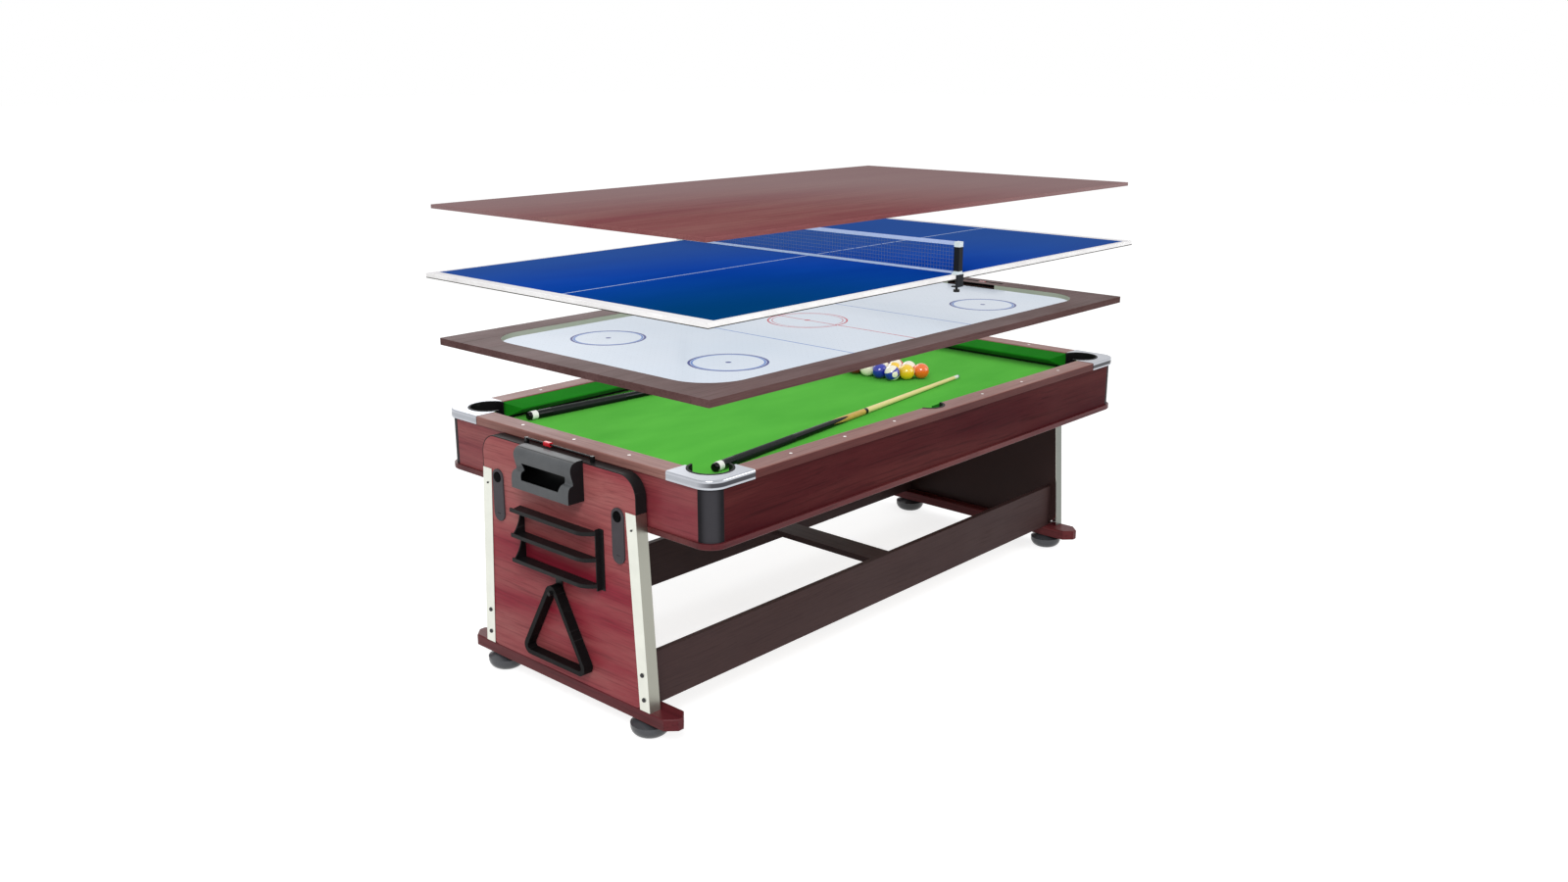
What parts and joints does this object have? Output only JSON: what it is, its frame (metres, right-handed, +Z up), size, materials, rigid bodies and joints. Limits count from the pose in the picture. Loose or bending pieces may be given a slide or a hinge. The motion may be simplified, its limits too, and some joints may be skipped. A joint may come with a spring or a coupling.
{
  "type": "multi game table",
  "caption": "Pool table on two end frames with a lift-on air hockey top, tennis top and dining top, shown lifted off, with cues, balls and an accessory rack.",
  "frame": {"origin": "on the floor, below the middle of the table", "axes": "+X along the table to the far end, away from the end with the accessory rack, +Y to the back, +Z up"},
  "size_m": [2.326, 1.248, 1.45],
  "materials": {
    "mahogany_laminate": "satin laminate with dark grain",
    "dark_laminate": "dark brown laminate",
    "bare_board": "bare fibreboard",
    "black_plastic": "matt black moulding",
    "chrome_trim": "polished",
    "black_screws": "black coated steel",
    "rubber_feet": "matt",
    "green_cloth": "woven playing cloth",
    "white_inlay": "gloss",
    "red_slider": "gloss",
    "cue_wood": "lacquered, with a dark butt",
    "ball_resin": "polished, in several colours",
    "hockey_white": "printed gloss sheet",
    "blue_board": "painted satin board with light lines",
    "white_edge": "edging strip",
    "net_mesh": "thin mesh with a light tape",
    "dining_laminate": "satin laminate with dark grain"
  },
  "bodies": {
    "table": {"end_panel_near": "mahogany_laminate", "end_panel_far": "mahogany_laminate", "panel_edging": "black_plastic", "leg_trims_near": "chrome_trim", "leg_trims_far": "chrome_trim", "foot_plank_near": "mahogany_laminate", "foot_plank_far": "mahogany_laminate", "stretcher_front": "dark_laminate", "stretcher_back": "dark_laminate", "cross_brace": "dark_laminate", "frame_screws": "black_screws", "goal_box_near": "black_plastic", "goal_box_far": "black_plastic", "score_rails": "black_plastic", "accessory_rack": "black_plastic", "lock_plates": "black_plastic", "side_apron_front": "mahogany_laminate", "side_apron_back": "mahogany_laminate", "end_apron_near": "mahogany_laminate", "end_apron_far": "mahogany_laminate", "corner_posts": "black_plastic", "base_molding": "mahogany_laminate", "long_rails": "mahogany_laminate", "end_rails": "mahogany_laminate", "rail_sights": "white_inlay", "corner_caps": "chrome_trim", "pocket_liners": "black_plastic", "pocket_cups": "black_plastic", "cushions": "green_cloth", "playing_bed": "bare_board", "bed_cloth": "green_cloth", "bed_bearers": "bare_board", "bottom_panel": "dark_laminate"},
    "hockey_top": {"hockey_frame": "mahogany_laminate", "hockey_field": "hockey_white", "hockey_goals": "black_plastic", "hockey_scorer": "black_plastic"},
    "hockey_counter": {"hockey_score_slider": "red_slider"},
    "tennis_top": {"tennis_board": "blue_board", "tennis_edging": "white_edge", "net": "net_mesh", "net_posts": "black_plastic"},
    "clamp_screw_front": {"net_clamp_screw_front": "black_plastic"},
    "clamp_screw_back": {"net_clamp_screw_back": "black_plastic"},
    "dining_top": {"dining_board": "dining_laminate"},
    "triangle": {"triangle_rack": "black_plastic"},
    "front_cue": {"cue_front": "cue_wood"},
    "back_cue": {"cue_back": "cue_wood"},
    "ball_rack": {"object_balls": "ball_resin"},
    "near_counter": {"score_slider_near": "red_slider"},
    "far_counter": {"score_slider_far": "red_slider"},
    "foot_near_front": {"levelling_foot_near_front": "rubber_feet"},
    "pin_near_front": {"lock_pin_near_front": "black_plastic"},
    "foot_near_back": {"levelling_foot_near_back": "rubber_feet"},
    "pin_near_back": {"lock_pin_near_back": "black_plastic"},
    "foot_far_front": {"levelling_foot_far_front": "rubber_feet"},
    "pin_far_front": {"lock_pin_far_front": "black_plastic"},
    "foot_far_back": {"levelling_foot_far_back": "rubber_feet"},
    "pin_far_back": {"lock_pin_far_back": "black_plastic"}
  },
  "joints": [
    {"name": "hockey_top_lift", "type": "slide", "parent": "table", "child": "hockey_top", "axis": [0, 0, 1], "range_m": [-0.2, 0]},
    {"name": "tennis_top_lift", "type": "slide", "parent": "hockey_top", "child": "tennis_top", "axis": [0, 0, 1], "range_m": [-0.1895, 0]},
    {"name": "dining_top_lift", "type": "slide", "parent": "tennis_top", "child": "dining_top", "axis": [0, 0, 1], "range_m": [-0.096, 0]},
    {"name": "triangle_off_hook", "type": "slide", "parent": "table", "child": "triangle", "axis": [-1, 0, 0], "range_m": [0, 0.06]},
    {"name": "ball_rack_roll", "type": "slide", "parent": "table", "child": "ball_rack", "axis": [1, 0, 0], "range_m": [-0.4, 0.4]},
    {"name": "near_counter_slide", "type": "slide", "parent": "table", "child": "near_counter", "axis": [0, 1, 0], "range_m": [-0.18, 0.08]},
    {"name": "far_counter_slide", "type": "slide", "parent": "table", "child": "far_counter", "axis": [0, 1, 0], "range_m": [-0.18, 0.08]},
    {"name": "hockey_counter_slide", "type": "slide", "parent": "hockey_top", "child": "hockey_counter", "axis": [0, 1, 0], "range_m": [-0.084, 0.124]},
    {"name": "clamp_screw_front_turn", "type": "hinge", "parent": "tennis_top", "child": "clamp_screw_front", "pos_m": [0, -0.6115, 1.21], "axis": [0, 0, 1], "continuous": true},
    {"name": "clamp_screw_back_turn", "type": "hinge", "parent": "tennis_top", "child": "clamp_screw_back", "pos_m": [0, 0.6115, 1.21], "axis": [0, 0, 1], "continuous": true},
    {"name": "front_cue_stroke", "type": "slide", "parent": "table", "child": "front_cue", "axis": [0.9927, 0.1207, 0], "range_m": [0, 0.2]},
    {"name": "back_cue_stroke", "type": "slide", "parent": "table", "child": "back_cue", "axis": [0.9976, -0.069, 0], "range_m": [-0.12, 0.2]},
    {"name": "foot_near_front_turn", "type": "hinge", "parent": "table", "child": "foot_near_front", "pos_m": [-1.067, -0.34, 0.03], "axis": [0, 0, 1], "continuous": true},
    {"name": "pin_near_front_pull", "type": "slide", "parent": "table", "child": "pin_near_front", "axis": [-1, 0, 0], "range_m": [0, 0.025], "stiffness_N_per_m": 300},
    {"name": "foot_near_back_turn", "type": "hinge", "parent": "table", "child": "foot_near_back", "pos_m": [-1.067, 0.34, 0.03], "axis": [0, 0, 1], "continuous": true},
    {"name": "pin_near_back_pull", "type": "slide", "parent": "table", "child": "pin_near_back", "axis": [-1, 0, 0], "range_m": [0, 0.025], "stiffness_N_per_m": 300},
    {"name": "foot_far_front_turn", "type": "hinge", "parent": "table", "child": "foot_far_front", "pos_m": [1.067, -0.34, 0.03], "axis": [0, 0, 1], "continuous": true},
    {"name": "pin_far_front_pull", "type": "slide", "parent": "table", "child": "pin_far_front", "axis": [1, 0, 0], "range_m": [0, 0.025], "stiffness_N_per_m": 300},
    {"name": "foot_far_back_turn", "type": "hinge", "parent": "table", "child": "foot_far_back", "pos_m": [1.067, 0.34, 0.03], "axis": [0, 0, 1], "continuous": true},
    {"name": "pin_far_back_pull", "type": "slide", "parent": "table", "child": "pin_far_back", "axis": [1, 0, 0], "range_m": [0, 0.025], "stiffness_N_per_m": 300}
  ]
}
